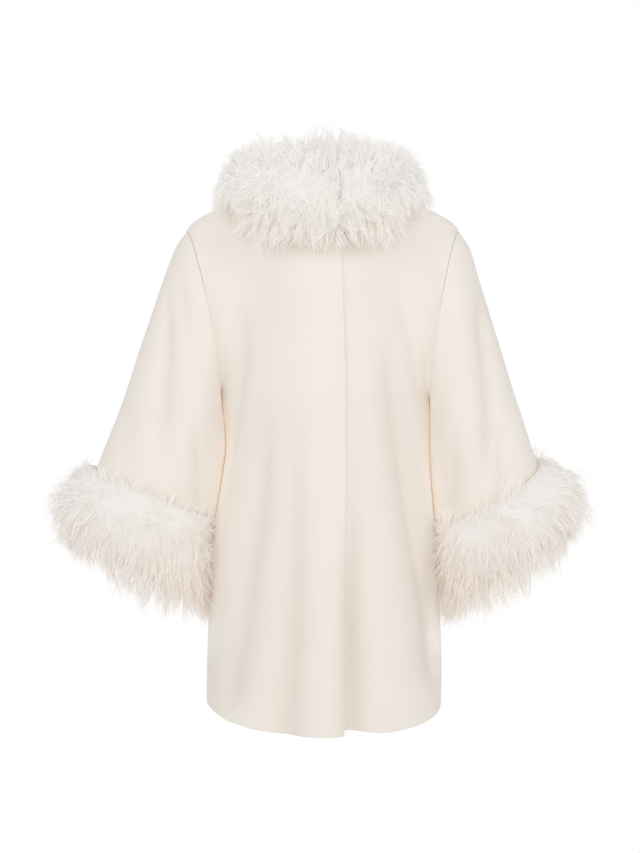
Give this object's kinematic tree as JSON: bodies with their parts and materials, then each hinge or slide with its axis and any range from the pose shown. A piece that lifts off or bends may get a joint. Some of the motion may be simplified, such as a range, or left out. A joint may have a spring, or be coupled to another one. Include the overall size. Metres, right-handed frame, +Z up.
{
  "type": "wool cape coat with fur collar and cuffs, filled out as worn",
  "caption": "Hip-length ivory wool cape coat with wide hanging sleeves, hidden front closing, rounded hem, a long-hair fur collar and fur cuffs, filled out as worn.",
  "frame": {"origin": "between the wearer's shoulders, on the line of the side neck points, where the wearer holds the cape up", "axes": "+X to the wearer's left, -Y the front of the cape, +Z up"},
  "size_m": [0.8486, 0.3061, 0.9328],
  "materials": {
    "wool_cloth": "soft felted ivory wool coating, matt with a faint nap",
    "long_fur": "long curly ivory fur in fine clumped locks"
  },
  "bodies": {
    "root": {"front_right": "wool_cloth", "front_left": "wool_cloth", "back": "wool_cloth", "sleeve_right_front": "wool_cloth", "sleeve_right_back": "wool_cloth", "sleeve_left_front": "wool_cloth", "sleeve_left_back": "wool_cloth", "collar_fur": "long_fur", "cuff_fur_right": "long_fur", "cuff_fur_left": "long_fur"}
  },
  "joints": []
}
